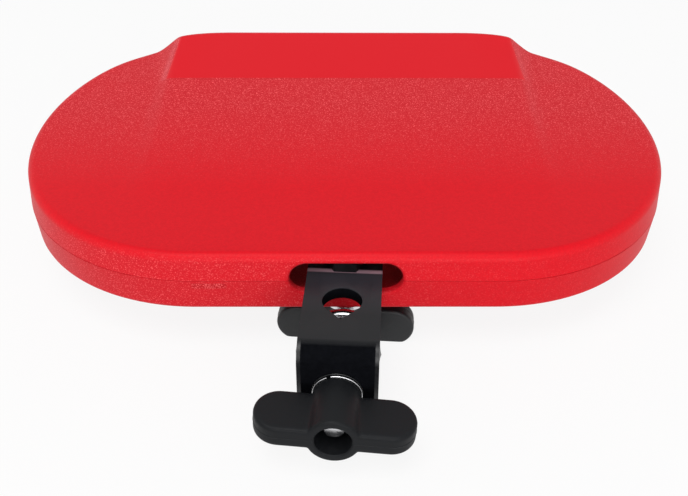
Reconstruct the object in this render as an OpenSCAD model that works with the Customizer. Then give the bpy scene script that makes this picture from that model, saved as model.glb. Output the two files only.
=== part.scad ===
// Percussion block of moulded plastic on a rod clamp.
// Origin: where the axis of the stand rod (Z) meets the axis of the clamp bolt (Y).
// The clamp faces the player at -Y and the block reaches back towards +Y.

/* [Block] */
// Length of the block, end to end
block_w = 248.6; // [205:0.1:285]
// Depth of the block, which is also the diameter of its round ends
block_d = 145; // [125:1:175]
// Height of the top edge above the parting plane, at the front
front_h = 10; // [9.5:0.5:16]
// Height of the wings above the parting plane, at the back
back_h = 26.7; // [22:0.1:32]
// Sag of the curved top at mid depth, under the straight line from front to back
top_sag = 3; // [0:0.1:3.5]
// Depth of the lower shell below the parting plane
base_h = 13; // [11:0.5:18]
// Wall thickness of both shells
wall = 3; // [2:0.1:4]
// Radius of the rounded top edge
top_edge_r = 3; // [1:0.1:4]
// Radius of the rounded bottom edge
base_edge_r = 2; // [0.5:0.1:3]
// How far the upper shell's wall leans in from the parting line to the top edge
top_lean = 0.6; // [0.2:0.1:1.8]
// How far the lower shell's wall leans in from the parting line to the bottom edge
base_lean = 0.9; // [0.2:0.1:1.8]

/* [Striking lip] */
// Rise of the centre over the wings at the crease in front of the lip
crease_rise = 2.4; // [1:0.1:3]
// Rise of the lip over the wings at the back
lip_rise = 3.8; // [3.2:0.1:7]
// Distance from the back wall to the crease
crease_back = 35.5; // [25:0.5:45]
// Distance from the back wall to where the raised centre starts
centre_back = 108; // [80:1:118]
// Half width of the raised centre at the crease
centre_half = 76; // [65:0.5:85]
// Half width of the lip at the back
lip_half = 74.5; // [64:0.5:84]
// Run of the flank beside the centre at the crease
crease_run = 6.5; // [4:0.5:10]
// Run of the flank beside the lip
lip_run = 14; // [8:0.5:18]

/* [Sound mouth] */
// Width of the mouth in the back wall
mouth_w = 124; // [80:1:130]
// Height of the mouth
mouth_h = 14; // [8:0.5:15]
// Height of the mouth's centre above the parting plane
mouth_z = 14; // [11:0.5:16]

/* [Bracket slot] */
// Width of the slot in the front wall
slot_w = 38.5; // [36:0.5:44]
// Height of the slot
slot_h = 12; // [11.5:0.1:13]
// Height of the slot's centre above the parting plane
slot_z = 0.5; // [0.3:0.1:0.8]

/* [Bracket] */
// Width of the bent plate
plate_w = 25.5; // [20:0.1:26]
// Thickness of the plate
plate_t = 4.5; // [3:0.1:5]
// Height of the plate's top face above the parting plane
plate_lift = 1.6; // [1.2:0.1:1.9]
// Outer height of the U, flange to flange
bracket_h = 33; // [31:0.5:40]
// Inner radius of the bends
bend_r = 1.2; // [0.5:0.1:3]
// Distance from the rod axis to the front face of the web
web_ahead = 23.9; // [21:0.1:27]
// Distance from the rod axis to the block's front wall
rod_to_wall = 11.7; // [11.5:0.1:15]
// Distance from the rod axis to the end of the lower flange
lower_reach = 11; // [9:0.1:11.2]
// Length of the upper flange beyond the mount screw's axis
plate_tail = 9; // [8:0.1:14]
// Radius of the flanges' corners
corner_r = 2; // [0.5:0.1:4]
// Radius of the rod hole
rod_r = 6.6; // [5:0.1:6.7]
// Play of the rod in the eye of the bolt, on the radius
eye_play = 0.4; // [0.2:0.05:0.5]

/* [Threads and fits] */
// Radius of both threads
screw_r = 4; // [3.5:0.1:4.2]
// Running play between a thread and its nut, on the radius
thread_play = 0.05; // [0.02:0.01:0.09]
// Play of a bolt in a plain hole, on the radius
hole_play = 0.5; // [0.3:0.05:0.8]
// Play of an insert in the hub that holds it, on the radius
insert_play = 0.05; // [0.02:0.01:0.1]

/* [Eye bolt] */
// Radial thickness of the eye
eye_t = 3.9; // [3:0.1:4.1]
// Height of the eye along the rod
eye_h = 9; // [6:0.1:9.5]
// Radius of the eye's rounded edges
eye_edge_r = 1.8; // [0.5:0.1:1.9]
// Depth of the bolt's end inside the wing nut
bolt_sink = 5; // [4.8:0.1:6]
// Length of the chamfer on a bolt's end
bolt_chamfer = 0.9; // [0.3:0.1:1.5]
// Length of the neck between eye and shank
neck_len = 1; // [0.5:0.1:1.2]

/* [Washers and nut] */
// Outer radius of the flat washers
washer_r = 8; // [7:0.1:9]
// Thickness of the flat washers
washer_t = 0.6; // [0.5:0.1:1.6]
// Outer radius of the split spring washers
spring_r = 7.9; // [6.5:0.1:8]
// Thickness of the split spring washers
spring_t = 1; // [0.8:0.1:2]
// Width of the split
spring_gap = 1.4; // [0.8:0.1:2]
// Width across the flats of the nut on the plate
nut_flats = 13; // [12:0.1:14]
// Height of the nut on the plate
nut_h = 4.5; // [4:0.1:4.8]
// Length of the mount screw beyond its nut
screw_proud = 0.5; // [0.2:0.1:0.7]

/* [Wing grips] */
// Span of a grip over both wings
grip_span = 49.2; // [44:0.1:56]
// Length of the wings along the axis
wing_len = 15.8; // [12:0.1:16.5]
// Thickness of the wings
wing_t = 7.4; // [5:0.1:7.6]
// Radius of the wings' rounded rim
wing_edge_r = 1.2; // [0.5:0.1:2]
// Length of the hub
hub_len = 18.7; // [17:0.1:20]
// Radius of the hub at the washer
hub_r = 7.7; // [7.2:0.1:9]
// Radius of the hub at its free end
hub_end_r = 8.3; // [7.4:0.1:9.5]
// Chamfer round the hub's free end
hub_chamfer = 0.6; // [0.3:0.1:1]
// Radius of the hub's bore
hub_bore_r = 5.65; // [5:0.05:6.2]
// Length of the metal insert in the hub
insert_len = 8.5; // [6:0.1:9]
// Thickness of the shoulder that keeps the insert in
shoulder_t = 1.5; // [1:0.1:2]

/* [Rest pose] */
// Distance from the block's front wall to the mount screw's axis
mount_inset = 9.5; // [9.2:0.1:12]
// Turn of the block about the mount screw
block_turn = 3.6; // [-12:0.1:12]
// Turn of the clamp's wing nut about its axis
clamp_grip_turn = 3; // [-30:1:30]
// Turn of the mount's wing screw about its axis
mount_grip_turn = -0.5; // [-15:0.5:3]

/* [Hidden] */
$fn = 64;

// Length that cuts run past the faces they open
over = 1;
// Facets on the arcs of the lower shell
form_fn = 72;
// Rows over each round end of the top, beyond the flank, and the angle where they stop
arc_rows = 13;
tip_angle = 87;
// Steps on the rounded top edge
edge_steps = 4;
// Share of a row's reach that the crease keeps inside
line_share = 0.9;
// Where the rows' middle points lie, as a share of the way to the start line and to the crease
middle_share = 0.3;
// Radius of the inner edge under the rounded top edge
inner_edge_r = 1;
// Share of a flank's run and rise at its concave bend
flank_bend_run_share = 0.5;
flank_bend_rise_share = 0.3;
// Tongue and groove that line up the shells: side play, and share of the wall they take
groove_play = 0.1;
tongue_wall_share = 0.34;
tongue_h = 1.4;
groove_spare = 0.3;
// Slant of a spring washer's split, and where the front one's split lies
split_slant = 60;
split_turn = 110;
// Turn that points the rod holes' notch at the web, and its sides' distance as a share of the radius
notch_turn = 225;
notch_share = 0.975;
// Mounting pad inside the lower shell
pad_r = 9;

half_d = block_d / 2;
end_x = block_w / 2 - half_d;
flange_top = bracket_h / 2;
parting_z = flange_top - plate_lift;
pivot_y = rod_to_wall + mount_inset;
screw_y = mount_inset - half_d;
plate_under = plate_lift - plate_t;
wing_slope = (back_h - front_h) / block_d;
crease_y = half_d - crease_back;
centre_y = half_d - centre_back;
foot_angle = asin((lip_half + lip_run - end_x) / half_d);
bend_out_r = bend_r + plate_t;
eye_r = rod_r + eye_play;
eye_out_r = eye_r + eye_t;
stack_t = washer_t + spring_t;
bolt_end = web_ahead + stack_t + hub_len - bolt_sink;
base_z = parting_z - base_h;
nut_top = flange_top + nut_h;

// Height of the wings over the parting plane at depth y
function wing_z(y) = front_h + wing_slope * (y + half_d) - top_sag * (1 - pow(y / half_d, 2));

// Puts the block's own frame, centred on its parting plane, on the mount screw's axis
module on_block() {
    translate([0, pivot_y, parting_z])
        rotate([0, 0, block_turn])
            translate([0, -screw_y, 0])
                children();
}

// Flat outline of the block, drawn in from its edge by inset
module outline(inset) {
    square([2 * end_x, block_d - 2 * inset], center = true);
    for (side = [-1, 1])
        translate([side * end_x, 0])
            circle(r = half_d - inset, $fn = 2 * form_fn);
}

// Rise of the centre over the wings at depth y, full where share is 1
function rise_at(y, share) =
    share * (y < centre_y ? 0
        : y < crease_y ? crease_rise * (y - centre_y) / (crease_y - centre_y)
        : crease_rise + (lip_rise - crease_rise) * (y - crease_y) / crease_back);

// Point of the outline next to x, drawn in by inset, on the front (-1) or back (1) wall
function edge_point(x, inset, face) =
    let (out = max(abs(x) - end_x, 0), turn = asin(min(out / half_d, 1)), r = half_d - inset)
    [sign(x) * (min(abs(x), end_x) + r * sin(turn)), face * r * cos(turn)];

// Point of the moulded top over p, lowered by drop
function top_point(p, share, drop) =
    [p[0], p[1], wing_z(p[1]) + rise_at(p[1], share) - drop];

// One row over the top, from the front wall's foot to the back wall's
function top_row(row, skin, edge) =
    let (
        front = [for (k = [0:edge_steps])
            let (a = 90 * k / edge_steps)
                top_point(edge_point(row[0], skin + top_lean + edge * (1 - cos(a)), -1),
                    row[4], skin + edge * (1 - sin(a)))],
        back = [for (k = [edge_steps:-1:0])
            let (a = 90 * k / edge_steps)
                top_point(edge_point(row[3], skin + top_lean + edge * (1 - cos(a)), 1),
                    row[4], skin + edge * (1 - sin(a)))],
        reach = (back[0][1] - front[edge_steps][1]) / 2,
        inner = [for (k = [0:3])
            let (line = [centre_y, centre_y * middle_share, crease_y * middle_share, crease_y][k],
                y = sign(line) * min(abs(line), reach * line_share))
                top_point([row[k < 2 ? 1 : 2], y], row[4], skin)],
        foot_front = edge_point(row[0], skin, -1),
        foot_back = edge_point(row[3], skin, 1),
        foot = skin > 0 ? -over : 0
    )
    concat([[foot_front[0], foot_front[1], foot]], front, inner, back,
        [[foot_back[0], foot_back[1], foot]]);

// Rows of one half of the top: x at front wall, start line, crease and back wall, share of the rise
function half_rows(skin) =
    let (
        slim = skin / 2,
        arc = [for (k = [0:arc_rows])
            let (a = foot_angle + (tip_angle - foot_angle) * k / arc_rows)
                end_x + half_d * sin(a)],
        edge_x = centre_half - slim,
        bend_x = edge_x + crease_run * flank_bend_run_share
    )
    concat(
        [for (x = [end_x / 2, end_x, end_x + (lip_half - end_x) / 2]) [x, x, x, x, 1]],
        [[edge_x, edge_x, edge_x, lip_half - slim, 1]],
        [[bend_x, bend_x, bend_x, lip_half - slim + lip_run * flank_bend_run_share,
            flank_bend_rise_share]],
        [let (x = edge_x + crease_run) [x, x, x, lip_half - slim + lip_run, 0]],
        [for (k = [1:arc_rows])
            let (x = arc[k], top_x = end_x + (x - end_x) * (half_d - skin - top_lean) / half_d)
                [x, top_x, top_x, x, 0]]);

function mirrored(row) = [-row[0], -row[1], -row[2], -row[3], row[4]];

// Solid from the parting plane up to the moulded top, skin inside the outer faces
module top_form(skin, edge) {
    half = half_rows(skin);
    last_half = len(half) - 1;
    rows = concat([for (k = [last_half:-1:0]) mirrored(half[k])], [[0, 0, 0, 0, 1]], half);
    grid = [for (row = rows) top_row(row, skin, edge)];
    n = len(grid[0]);
    last = len(grid) - 1;
    skin_faces = [for (r = [0:last - 1], k = [0:n - 1])
        let (a = r * n + k, b = r * n + (k + 1) % n)
            each [[a, b, a + n], [b, b + n, a + n]]];
    tips = [for (r = [0, last], k = [0:floor(n / 2) - 2])
        let (a = r * n + k, b = a + 1, c = r * n + n - 2 - k, d = c + 1)
            each (r == 0 ? [[a, c, b], [a, d, c]] : [[a, b, c], [a, c, d]])];
    polyhedron([for (line = grid) each line], concat(skin_faces, tips), convexity = 6);
}

// Slot with round ends through a wall that faces along Y
module wall_slot(width, height, depth) {
    rotate([90, 0, 0])
        linear_extrude(height = depth, center = true) {
            square([width - height, height], center = true);
            for (side = [-1, 1])
                translate([side * (width - height) / 2, 0])
                    circle(d = height);
        }
}

module slot_cut() {
    translate([0, -half_d, slot_z])
        wall_slot(slot_w, slot_h, 2 * (wall + top_lean) + over);
}

// Raised rim or its groove, standing on the parting plane inside the wall
module rim_ring(height, play) {
    from_edge = wall * (1 - tongue_wall_share) / 2;
    linear_extrude(height = height)
        difference() {
            outline(from_edge - play);
            outline(wall - from_edge + play);
        }
}

module upper_shell() {
    color([0.82, 0.08, 0.12])
        on_block()
            difference() {
                top_form(0, top_edge_r);
                top_form(wall, inner_edge_r);
                rim_ring(tongue_h + groove_spare, groove_play);
                slot_cut();
                translate([0, half_d, mouth_z])
                    wall_slot(mouth_w, mouth_h, 4 * wall);
            }
}

// Half section of the lower shell from its middle out to the wall
module base_profile() {
    difference() {
        union() {
            translate([0, -base_h])
                square([half_d - base_lean - base_edge_r, base_h]);
            polygon([[0, 0], [half_d, 0], [half_d - base_lean, base_edge_r - base_h],
                [0, base_edge_r - base_h]]);
            translate([half_d - base_lean - base_edge_r, base_edge_r - base_h])
                circle(r = base_edge_r);
        }
        polygon([[-over, wall - base_h], [half_d - wall - base_lean, wall - base_h],
            [half_d - wall, 0], [half_d - wall, over], [-over, over]]);
    }
}

module lower_shell() {
    color([0.78, 0.07, 0.11])
        on_block()
            difference() {
                union() {
                    for (side = [-1, 1]) {
                        translate([side * end_x, 0, 0])
                            rotate([0, 0, -90 * side])
                                rotate_extrude(angle = 180, $fn = 2 * form_fn)
                                    base_profile();
                        rotate([90, 0, 90 * side])
                            linear_extrude(height = 2 * end_x, center = true)
                                base_profile();
                    }
                    rim_ring(tongue_h, 0);
                    translate([0, screw_y, -base_h])
                        cylinder(r = pad_r, h = base_h + plate_under);
                }
                slot_cut();
                translate([0, screw_y, -base_h - over])
                    cylinder(r = screw_r + hole_play, h = base_h + 2 * over);
            }
}

// Side view of the U bracket, Y to the right and Z up
module bracket_profile() {
    difference() {
        translate([-web_ahead, -flange_top])
            rounded_bar(pivot_y + plate_tail + web_ahead, bracket_h, bend_out_r);
        translate([-web_ahead + plate_t, -flange_top + plate_t])
            rounded_bar(pivot_y + plate_tail + web_ahead, bracket_h - 2 * plate_t, bend_r);
        translate([lower_reach, -flange_top - over])
            square([pivot_y + plate_tail, bracket_h - plate_t]);
    }
}

// Rectangle from the origin with both corners at its start rounded
module rounded_bar(length, height, radius) {
    translate([radius, 0])
        square([length - radius, height]);
    translate([0, radius])
        square([length, height - 2 * radius]);
    for (y = [radius, height - radius])
        translate([radius, y])
            circle(r = radius);
}

// Plan of a flange with rounded corners at its end, as a cutter would leave it
module flange_plan(reach) {
    translate([-plate_w / 2, -web_ahead])
        square([plate_w, web_ahead + reach - corner_r]);
    translate([-plate_w / 2 + corner_r, -web_ahead])
        square([plate_w - 2 * corner_r, web_ahead + reach]);
    for (side = [-1, 1])
        translate([side * (plate_w / 2 - corner_r), reach - corner_r])
            circle(r = corner_r);
}

module mount_bracket() {
    color([0.12, 0.12, 0.13])
        difference() {
            intersection() {
                rotate([90, 0, 90])
                    linear_extrude(height = plate_w, center = true)
                        bracket_profile();
                union() {
                    linear_extrude(height = flange_top)
                        flange_plan(pivot_y + plate_tail);
                    translate([0, 0, -flange_top])
                        linear_extrude(height = flange_top)
                            flange_plan(lower_reach);
                }
            }
            translate([0, 0, -flange_top - over])
                linear_extrude(height = bracket_h + 2 * over) {
                    circle(r = rod_r);
                    rotate([0, 0, notch_turn])
                        square(rod_r * notch_share);
                }
            translate([0, -web_ahead - over, 0])
                rotate([-90, 0, 0])
                    cylinder(r = screw_r + hole_play, h = plate_t + 2 * over);
            translate([0, pivot_y, flange_top - plate_t - over])
                cylinder(r = screw_r + thread_play, h = plate_t + 2 * over);
        }
}

module bracket_nut() {
    color([0.75, 0.75, 0.76])
        translate([0, pivot_y, flange_top])
            difference() {
                cylinder(d = nut_flats / cos(30), h = nut_h, $fn = 6);
                translate([0, 0, -over])
                    cylinder(r = screw_r + thread_play, h = nut_h + 2 * over);
            }
}

module eye_bolt() {
    color([0.8, 0.8, 0.82]) {
        difference() {
            union() {
                rotate_extrude()
                    translate([eye_r, -eye_h / 2])
                        rounded_box(eye_t, eye_h, eye_edge_r);
                rotate([90, 0, 0]) {
                    cylinder(r = screw_r, h = bolt_end - bolt_chamfer);
                    translate([0, 0, bolt_end - bolt_chamfer])
                        cylinder(r1 = screw_r, r2 = screw_r - bolt_chamfer, h = bolt_chamfer);
                    translate([0, 0, eye_out_r - eye_t / 2])
                        cylinder(r = screw_r + hole_play, h = eye_t / 2 + neck_len);
                }
            }
            translate([0, 0, -eye_h])
                cylinder(r = eye_r, h = 2 * eye_h);
        }
    }
}

// Rectangle from the origin with all four corners rounded
module rounded_box(width, height, radius) {
    translate([radius, 0])
        square([width - 2 * radius, height]);
    translate([0, radius])
        square([width, height - 2 * radius]);
    for (x = [radius, width - radius], y = [radius, height - radius])
        translate([x, y])
            circle(r = radius);
}

// Flat washer that lies on the plane z = 0
module flat_washer() {
    difference() {
        cylinder(r = washer_r, h = washer_t);
        translate([0, 0, -over])
            cylinder(r = screw_r + hole_play / 2, h = washer_t + 2 * over);
    }
}

// Split spring washer that lies on the plane z = 0, its gap cut on the slant
module split_washer() {
    difference() {
        cylinder(r = spring_r, h = spring_t);
        translate([0, 0, -over])
            cylinder(r = screw_r + hole_play / 2, h = spring_t + 2 * over);
        translate([0, 0, spring_t / 2])
            rotate([-split_slant, 0, 0])
                translate([0, -spring_gap / 2, -spring_t * 2])
                    cube([spring_r + over, spring_gap, spring_t * 4]);
    }
}

// Half section of a wing, from its middle plane x = 0 out to its rounded rim
module wing_profile() {
    translate([0, -wing_t / 2])
        square([wing_len / 2 - wing_edge_r, wing_t]);
    translate([0, wing_edge_r - wing_t / 2])
        square([wing_len / 2, wing_t - 2 * wing_edge_r]);
    for (side = [-1, 1])
        translate([wing_len / 2 - wing_edge_r, side * (wing_t / 2 - wing_edge_r)])
            circle(r = wing_edge_r);
}

// Both wings in one flat piece with round ends, its rim rounded
module wing_blade() {
    straight = grip_span - wing_len;
    for (side = [-1, 1]) {
        translate([side * straight / 2, 0, 0])
            rotate([0, 0, -90 * side])
                rotate_extrude(angle = 180)
                    wing_profile();
        rotate([90, 0, 90 * side])
            linear_extrude(height = straight, center = true)
                wing_profile();
    }
}

// Wing grip with its washer face on the plane z = 0 and its free end up
module wing_grip() {
    difference() {
        union() {
            cylinder(r1 = hub_r, r2 = hub_end_r, h = hub_len - hub_chamfer);
            translate([0, 0, hub_len - hub_chamfer])
                cylinder(r1 = hub_end_r, r2 = hub_end_r - hub_chamfer, h = hub_chamfer);
            translate([0, 0, hub_len - wing_len / 2])
                rotate([90, 0, 0])
                    wing_blade();
        }
        translate([0, 0, -over])
            cylinder(r = hub_bore_r, h = insert_len + over);
        translate([0, 0, insert_len - over])
            cylinder(r = screw_r + hole_play, h = shoulder_t + 2 * over);
        translate([0, 0, insert_len + shoulder_t])
            cylinder(r = hub_bore_r, h = hub_len);
    }
}

// Turns a fitting so that it stands out from the web along the clamp axis
module on_clamp_axis(out, turn) {
    translate([0, -web_ahead - out, 0])
        rotate([90, turn, 0])
            children();
}

// Turns a fitting so that it hangs from the block's underside on the mount axis
module on_mount_axis(down, turn) {
    translate([0, pivot_y, base_z - down])
        rotate([0, 0, turn])
            rotate([180, 0, 0])
                children();
}

module clamp_washer() {
    color([0.82, 0.82, 0.84])
        on_clamp_axis(0, 0)
            flat_washer();
}

module clamp_spring_washer() {
    color([0.72, 0.72, 0.74])
        on_clamp_axis(washer_t, 0)
            rotate([0, 0, split_turn])
                split_washer();
}

module clamp_wing_nut() {
    color([0.13, 0.13, 0.14])
        on_clamp_axis(stack_t, clamp_grip_turn)
            wing_grip();
}

module clamp_nut_insert() {
    color([0.78, 0.72, 0.5])
        on_clamp_axis(stack_t, 0)
            difference() {
                cylinder(r = hub_bore_r - insert_play, h = insert_len);
                translate([0, 0, -over])
                    cylinder(r = screw_r + thread_play, h = insert_len + 2 * over);
            }
}

module mount_washer() {
    color([0.82, 0.82, 0.84])
        on_mount_axis(0, 0)
            flat_washer();
}

module mount_spring_washer() {
    color([0.72, 0.72, 0.74])
        on_mount_axis(washer_t, 0)
            split_washer();
}

module mount_wing_grip() {
    color([0.13, 0.13, 0.14])
        on_mount_axis(stack_t, mount_grip_turn)
            wing_grip();
}

module mount_screw() {
    head_top = base_z - stack_t;
    color([0.8, 0.8, 0.82])
        translate([0, pivot_y, 0]) {
            translate([0, 0, head_top - insert_len])
                cylinder(r = hub_bore_r - insert_play, h = insert_len);
            translate([0, 0, head_top])
                cylinder(r = screw_r, h = nut_top + screw_proud - bolt_chamfer - head_top);
            translate([0, 0, nut_top + screw_proud - bolt_chamfer])
                cylinder(r1 = screw_r, r2 = screw_r - bolt_chamfer, h = bolt_chamfer);
        }
}

upper_shell();
lower_shell();
mount_bracket();
bracket_nut();
eye_bolt();
clamp_washer();
clamp_spring_washer();
clamp_wing_nut();
clamp_nut_insert();
mount_washer();
mount_spring_washer();
mount_wing_grip();
mount_screw();
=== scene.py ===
import math

import bmesh
import bpy
from bpy.props import FloatProperty, FloatVectorProperty, IntProperty, PointerProperty
from mathutils import Matrix, Vector


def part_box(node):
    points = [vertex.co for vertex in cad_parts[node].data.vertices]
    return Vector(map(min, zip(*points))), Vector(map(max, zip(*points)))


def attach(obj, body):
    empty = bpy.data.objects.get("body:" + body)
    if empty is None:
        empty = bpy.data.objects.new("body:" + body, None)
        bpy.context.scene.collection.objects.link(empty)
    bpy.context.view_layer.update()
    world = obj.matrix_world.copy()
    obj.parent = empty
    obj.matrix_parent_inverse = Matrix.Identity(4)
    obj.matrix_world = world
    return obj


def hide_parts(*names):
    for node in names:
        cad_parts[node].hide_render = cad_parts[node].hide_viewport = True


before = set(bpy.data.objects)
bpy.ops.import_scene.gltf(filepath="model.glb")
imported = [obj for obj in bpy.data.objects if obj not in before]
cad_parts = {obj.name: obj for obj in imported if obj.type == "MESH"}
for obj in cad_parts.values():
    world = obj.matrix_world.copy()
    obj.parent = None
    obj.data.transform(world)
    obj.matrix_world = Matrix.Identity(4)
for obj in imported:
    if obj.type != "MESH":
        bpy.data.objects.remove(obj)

bl_info = {
    "name": "Percussion Block",
    "version": (1, 0, 0),
    "blender": (4, 5, 0),
    "location": "3D View > Sidebar > Percussion Block",
    "description": "Moulded shells, bent bracket, rod clamp and wing grips of a percussion block",
    "category": "Object",
}

MM = 0.001
MERGE = 0.01 * MM                   # points closer than this are one
SHARP_ANGLE = math.radians(32)      # edges sharper than this stay crisp
FULL_TURN, HALF_TURN, QUARTER_TURN = 2 * math.pi, math.pi, math.pi / 2
Z_TO_FRONT = Matrix.Rotation(QUARTER_TURN, 4, "X")      # turns +Z to -Y
WALL_RINGS = (0.06, 0.97)           # rings up a wall, as shares of its height
PLACE_NAME = "block_place"          # each point's place in the block's own frame
ZONES = ("Lip", "Sheen", "Strip", "RimHighlight", "Seam", "Gate")
FLOOR_HALF = 6                      # metres from the floor's middle to its edge
LAMP_TARGET = (0, 0.08, 0.02)
LAMPS = (                           # name, place, size, watts
    ("key", (-0.15, -0.45, 1.25), 0.8, 8.6), ("front_fill", (0.25, -1.3, 0.15), 1.0, 9.6))

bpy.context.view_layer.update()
WASHER_LOW, WASHER_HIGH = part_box("mount_washer")
PIVOT = (WASHER_LOW + WASHER_HIGH) / 2
PARTING_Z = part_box("upper_shell")[0].z
BRACKET_LOW, BRACKET_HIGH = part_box("mount_bracket")
EYE_LOW, EYE_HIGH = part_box("eye_bolt")


def titled(group):
    """Names each property of a group after its identifier."""
    for key, prop in group.__annotations__.items():
        prop.keywords["name"] = key.replace("_", " ").capitalize()
    return group


def length(description, millimetres):
    """A size, given in millimetres."""
    return FloatProperty(name="", description=description, default=millimetres * MM, unit="LENGTH")


def angle(description, degrees):
    """An angle, given in degrees."""
    return FloatProperty(name="", description=description, default=math.radians(degrees), subtype="ANGLE")


def number(description, default):
    """A plain number."""
    return FloatProperty(name="", description=description, default=default)


def count(description, default, least=1):
    """A number of steps."""
    return IntProperty(name="", description=description, default=default, min=least)


def share(description, default):
    """A plain number from 0 to 1."""
    return FloatProperty(name="", description=description, default=default, min=0, max=1)


def colour(description, default):
    """A linear colour."""
    return FloatVectorProperty(
        name="", description=description, default=default, size=3, subtype="COLOR", min=0, max=1)


@titled
class ShellSizes(bpy.types.PropertyGroup):
    """Sizes of the two moulded shells."""
    width: length("Length of the block, end to end", 248.6)
    depth: length("Depth of the block, and diameter of its round ends", 145)
    front_height: length("Top edge over the parting plane at the front", 10)
    back_height: length("Wings over the parting plane at the back", 26.7)
    top_sag: length("Sag of the curved top at mid depth", 3)
    base_height: length("Depth of the lower shell", 13)
    wall: length("Wall thickness", 3)
    top_edge: length("Radius of the rounded top edge", 3)
    base_edge: length("Radius of the rounded bottom edge", 2)
    top_lean: length("How far the upper wall leans in up to its edge", 0.6)
    base_lean: length("How far the lower wall leans in down to its edge", 0.9)
    inner_edge: length("Radius of the edge inside", 1)
    seam_edge: length("Chamfer of both shells along the parting line", 0.22)
    crease_rise: length("Rise of the centre at the crease", 2.4)
    lip_rise: length("Rise of the lip at the back", 3.8)
    crease_back: length("Distance from the back wall to the crease", 35.5)
    centre_back: length("Distance from the back wall to the centre's start", 108)
    centre_half: length("Half width of the centre at the crease", 76)
    lip_half: length("Half width of the lip at the back", 75.3)
    crease_run: length("Run of the flank at the crease", 6.5)
    lip_run: length("Run of the flank beside the lip", 11.1)
    flank_power: number("How hollow the flank is towards its foot", 1.66)
    trough: length("Depth of the hollow at the flank's foot, at the back", 1.5)
    trough_at: length("Distance of the hollow's middle from the block's middle", 88.2)
    trough_run: length("Half width of the hollow", 11.6)
    lip_lift: length("Rise of the lip's ends over its middle", 1.3)
    lip_lift_from: length("From the middle to where the lip's ends start to rise", 52)
    lip_lift_run: length("Run of the rise of the lip's ends", 24)
    polish_front: length("Half width of the polished lip at the crease", 77.2)
    polish_back: length("Half width of the polished lip at the back", 73.9)
    polish_level: length("Height from which the crease is polished", 18.5)
    polish_slope: number("Rise of that level towards the back", 0.225)
    polish_shift: length("How far the polished lip lies off the middle", 0.4)
    flank_soft: length("Rounding of the flank's upper edge", 1.1)
    crease_soft: length("Rounding of the crease", 1.2)
    mouth_width: length("Width of the sound mouth", 124)
    mouth_height: length("Height of the sound mouth", 14)
    mouth_z: length("Mouth's centre over the parting plane", 14)
    slot_width: length("Width of the bracket's slot", 38.5)
    slot_height: length("Height of the bracket's slot", 12)
    slot_z: length("Slot's centre over the parting plane", 0.5)
    slot_edge: length("Rounding of the slot's rim", 1.2)
    mouth_edge: length("Rounding of the mouth's rim", 1)
    mount_inset: length("Distance from the front wall to the mount screw", 9.5)
    pad_radius: length("Radius of the mounting pad inside", 9)
    pad_top: length("Top of the pad over the parting plane", -2.9)
    screw_hole: length("Radius of the mount screw's hole", 4.5)
    gate_left: length("Left end of the gate mark on the front wall", -52.3)
    gate_right: length("Right end of the gate mark", -40.5)
    gate_low: length("Lower side of the gate mark", -3.3)
    gate_high: length("Upper side of the gate mark", -1.1)
    tongue_height: length("Height of the tongue that lines the shells up", 1.4)
    tongue_near: length("From the outer wall to the tongue", 0.99)
    tongue_far: length("From the outer wall to the tongue's inner side", 2.01)
    groove_play: length("Play of the groove on each side of the tongue", 0.1)
    groove_spare: length("Spare depth of the groove", 0.3)
    turn: angle("Turn of the block on its bracket", 3.6)
    arc_steps: count("Steps round each end", 200, 24)
    straight_steps: count("Steps along each straight side", 64, 4)
    ring_pitch: length("Distance between the rings over the top", 1.1)
    floor_pitch: length("Distance between the rings under the floor", 9)


@titled
class BracketSizes(bpy.types.PropertyGroup):
    """Sizes of the bent bracket."""
    plate_t: length("Thickness of the flat bar", 4.5)
    bend: length("Inner radius of the bends", 1.2)
    lower_reach: length("From the rod's axis to the end of the lower flange", 11)
    corner: length("Radius of the corners in plan", 2)
    edge: length("Rounding of the bar's edges", 0.6)
    rod_hole: length("Radius of the rod hole", 6.6)
    notch: number("Side of the notch over the rod hole's radius", 0.975)
    bolt_hole: length("Radius of the eye bolt's hole", 4.5)
    screw_hole: length("Radius of the threaded hole", 4.05)
    edge_wear: length("Width of the glossy strip along the sides", 1.1)
    # Ends of the pale pinkish band that the coat has inside the block's slot
    band_low: length("Start of the worn band inside the block's slot", 14.4)
    band_high: length("End of the worn band", 16.2)
    bulge: length("How far the bar's inner side spreads at a bend", 0.6)
    bend_steps: count("Steps round each bend", 16)


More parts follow.
